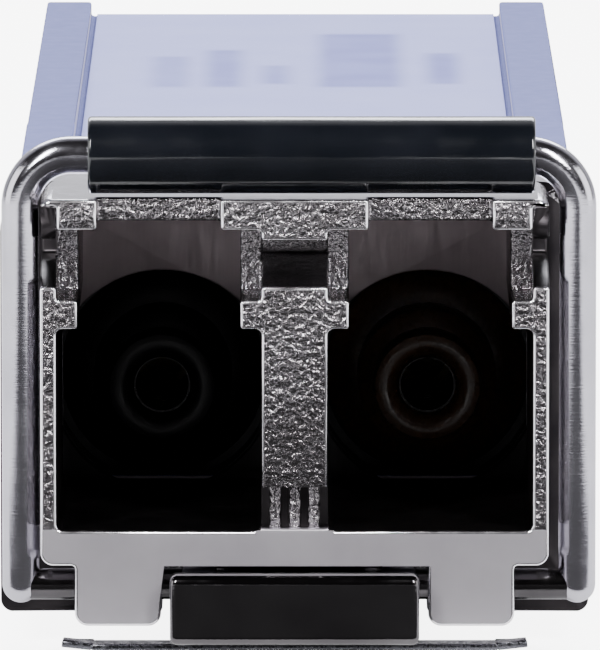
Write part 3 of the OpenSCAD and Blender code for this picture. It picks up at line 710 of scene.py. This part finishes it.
def capsule(name, centre_x):
    """A flattened wire end: two half rounds joined by flats, run along X."""
    back = Vector((0, 1, 0))
    over = Vector((0, 0, 1))
    outline = arc(Vector((0, 0, 0)), WIRE_R, -90, 90, back, over, 14)
    outline += arc(back * -CAM_THROW, WIRE_R, 90, 270, back, over, 14)
    bm = bmesh.new()
    start = Vector((centre_x - CAM_L / 2, pivot.y, pivot.z))
    face = bm.faces.new([bm.verts.new(start + p) for p in outline])
    grown = bmesh.ops.extrude_face_region(bm, geom=[face])
    moved = [v for v in grown["geom"] if isinstance(v, bmesh.types.BMVert)]
    bmesh.ops.translate(bm, verts=moved, vec=(CAM_L, 0, 0))
    bmesh.ops.recalc_face_normals(bm, faces=bm.faces)
    obj = link_mesh(name, bm)
    bevel = obj.modifiers.new("round", "BEVEL")
    bevel.width = 0.08 * MM
    bevel.segments = 3
    bevel.limit_method = "ANGLE"
    bevel.angle_limit = math.radians(50)
    apply_modifiers(obj)
    shade_smooth(obj, 40)
    paint(obj, wire_metal)
    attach(obj, "bail")
    return obj


for cam_side, cam_name in ((-1, "bail_cam_left"), (1, "bail_cam_right")):
    capsule(cam_name, pivot.x + cam_side * (CAM_OUT_X - CAM_L / 2))

SLEEVE_R = (sleeve_high.z - sleeve_low.z) / 2
SLEEVE_WALL_IN = WIRE_R + 0.04 * MM
SLEEVE_ROUND = 0.09 * MM
half_sleeve = (sleeve_high.x - sleeve_low.x) / 2


def sleeve_profile():
    points = []
    corners = ((half_sleeve - SLEEVE_ROUND, SLEEVE_WALL_IN + SLEEVE_ROUND, 270, 360),
               (half_sleeve - SLEEVE_ROUND, SLEEVE_R - SLEEVE_ROUND, 0, 90),
               (-half_sleeve + SLEEVE_ROUND, SLEEVE_R - SLEEVE_ROUND, 90, 180),
               (-half_sleeve + SLEEVE_ROUND, SLEEVE_WALL_IN + SLEEVE_ROUND, 180, 270))
    for x, r, start, end in corners:
        for k in range(7):
            turn = math.radians(start + (end - start) * k / 6)
            points.append((x + SLEEVE_ROUND * math.cos(turn), r + SLEEVE_ROUND * math.sin(turn)))
    return points


sleeve = turned("bail_grip", sleeve_profile(), bar_centre, 96)
shade_smooth(sleeve, 50)
paint(sleeve, sleeve_black)
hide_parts("bail_sleeve")
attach(sleeve, "bail")

# ---------------------------------------------------------------- latch

BAR_FRONT = NOSE_Y - 0.1 * MM
BAR_END_X = 2.8 * MM


def at_bar_end(edge):
    """Whether an edge is at either end of the lever's front bar."""
    return all(abs(vertex.co.x) > BAR_END_X and vertex.co.y < BAR_FRONT for vertex in edge.verts)


lever = rounded_copy("latch_lever", "latch_rocker", 0.05, wide=(at_bar_end, 0.15))
paint(lever, lever_metal)
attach(lever, "latch")

plate = rounded_copy("tab_plate", "thin_tab_plate", 0.03, 2)
paint(plate, plate_metal)
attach(plate, "latch")

# ---------------------------------------------------------------- floor and light

FLOOR_GLOW = 0.25
FLOOR_SEEN_GLOW = 6.0
floor_shader = Shader("studio_floor")
floor_seen = floor_shader.add("ShaderNodeLightPath").outputs["Is Camera Ray"]
floor_glow = floor_shader.remap(floor_seen, 0.0, 1.0, FLOOR_GLOW, FLOOR_SEEN_GLOW)
floor_material = floor_shader.wire(
    colour=floor_shader.ramp(floor_shader.noise(0.02, 3.0), (0.3, (0.90, 0.90, 0.91)),
                             (0.7, (0.93, 0.93, 0.94))),
    roughness=0.7)
floor_shader.bsdf.inputs["Emission Color"].default_value = (1, 1, 1, 1)
floor_shader.tree.links.new(floor_glow, floor_shader.bsdf.inputs["Emission Strength"])


def stage_plane(name, x_span, y_span, z, material):
    """A flat rectangle at height z that belongs to the studio."""
    bm = bmesh.new()
    corners = ((x_span[0], y_span[0]), (x_span[1], y_span[0]), (x_span[1], y_span[1]),
               (x_span[0], y_span[1]))
    bm.faces.new([bm.verts.new((x, y, z)) for x, y in corners])
    obj = link_mesh(name, bm)
    paint(obj, material)
    return obj


stage_plane("studio_floor", (-2, 2), (-2, 2), cad_low.z, floor_material)

# A black flag lies in front of the object, out of the camera's sight, for dark reflections.
FLAG_HALF_WIDTH = 20 * MM
FLAG_FAR_Y = -0.6
FLAG_GAP = 1.8 * MM
FLAG_LIFT = 0.05 * MM
flag_shader = Shader("black_flag")
flag_material = flag_shader.wire(
    colour=flag_shader.ramp(flag_shader.noise(0.05, 3.0), (0.3, (0.015, 0.014, 0.015)),
                            (0.7, (0.025, 0.024, 0.025))),
    roughness=0.9)
flag = stage_plane("black_flag", (-FLAG_HALF_WIDTH, FLAG_HALF_WIDTH),
                   (FLAG_FAR_Y, NOSE_Y - FLAG_GAP), cad_low.z + FLAG_LIFT, flag_material)
flag.visible_camera = False


def area_light(name, place, target, size, power, colour=(1, 1, 1)):
    data = bpy.data.lights.new(name, "AREA")
    data.shape = "RECTANGLE"
    data.size, data.size_y = size
    data.energy = power
    data.color = colour
    obj = bpy.data.objects.new(name, data)
    obj.location = place
    obj.rotation_euler = (Vector(target) - Vector(place)).to_track_quat("-Z", "Y").to_euler()
    bpy.context.collection.objects.link(obj)
    return obj


area_light("key_left", (-0.22, -0.34, 0.32), (0, 0, 0), (0.06, 0.22), 3.0)
area_light("key_right", (0.22, -0.34, 0.32), (0, 0, 0), (0.06, 0.22), 3.0)
area_light("fill_left", (-0.42, -0.05, 0.10), (0, 0, 0), (0.3, 0.3), 1.0)
area_light("fill_right", (0.42, -0.05, 0.10), (0, 0, 0), (0.3, 0.3), 1.0)
area_light("overhead", (0, 0.48, 0.34), (0, 0, 0), (0.5, 0.2), 3.5, (0.93, 0.95, 1.0))

# Bright surroundings behind the object and dark ones on the camera's side.
DARK_UNTIL = 0.15
BRIGHT_FROM = 0.75
BACKDROP_GLOW = 6.0
world = bpy.data.worlds.new("studio")
bpy.context.scene.world = world
world.use_nodes = True
sky = world.node_tree
direction = sky.nodes.new("ShaderNodeTexCoord")
split = sky.nodes.new("ShaderNodeSeparateXYZ")
sky.links.new(direction.outputs["Generated"], split.inputs[0])
backness = sky.nodes.new("ShaderNodeMapRange")
backness.interpolation_type = "SMOOTHSTEP"
backness.inputs["From Min"].default_value = DARK_UNTIL
backness.inputs["From Max"].default_value = BRIGHT_FROM
sky.links.new(split.outputs["Y"], backness.inputs["Value"])
surround = sky.nodes.new("ShaderNodeMix")
surround.data_type = "RGBA"
surround.inputs[6].default_value = (0.035, 0.032, 0.034, 1)
surround.inputs[7].default_value = (0.95, 0.95, 1.0, 1)
sky.links.new(backness.outputs[0], surround.inputs[0])
seen = sky.nodes.new("ShaderNodeLightPath")
backdrop = sky.nodes.new("ShaderNodeMix")
backdrop.data_type = "RGBA"
backdrop.inputs[7].default_value = (BACKDROP_GLOW, BACKDROP_GLOW, BACKDROP_GLOW, 1)
sky.links.new(seen.outputs["Is Camera Ray"], backdrop.inputs[0])
sky.links.new(surround.outputs[2], backdrop.inputs[6])
sky.links.new(backdrop.outputs[2], sky.nodes["Background"].inputs["Color"])
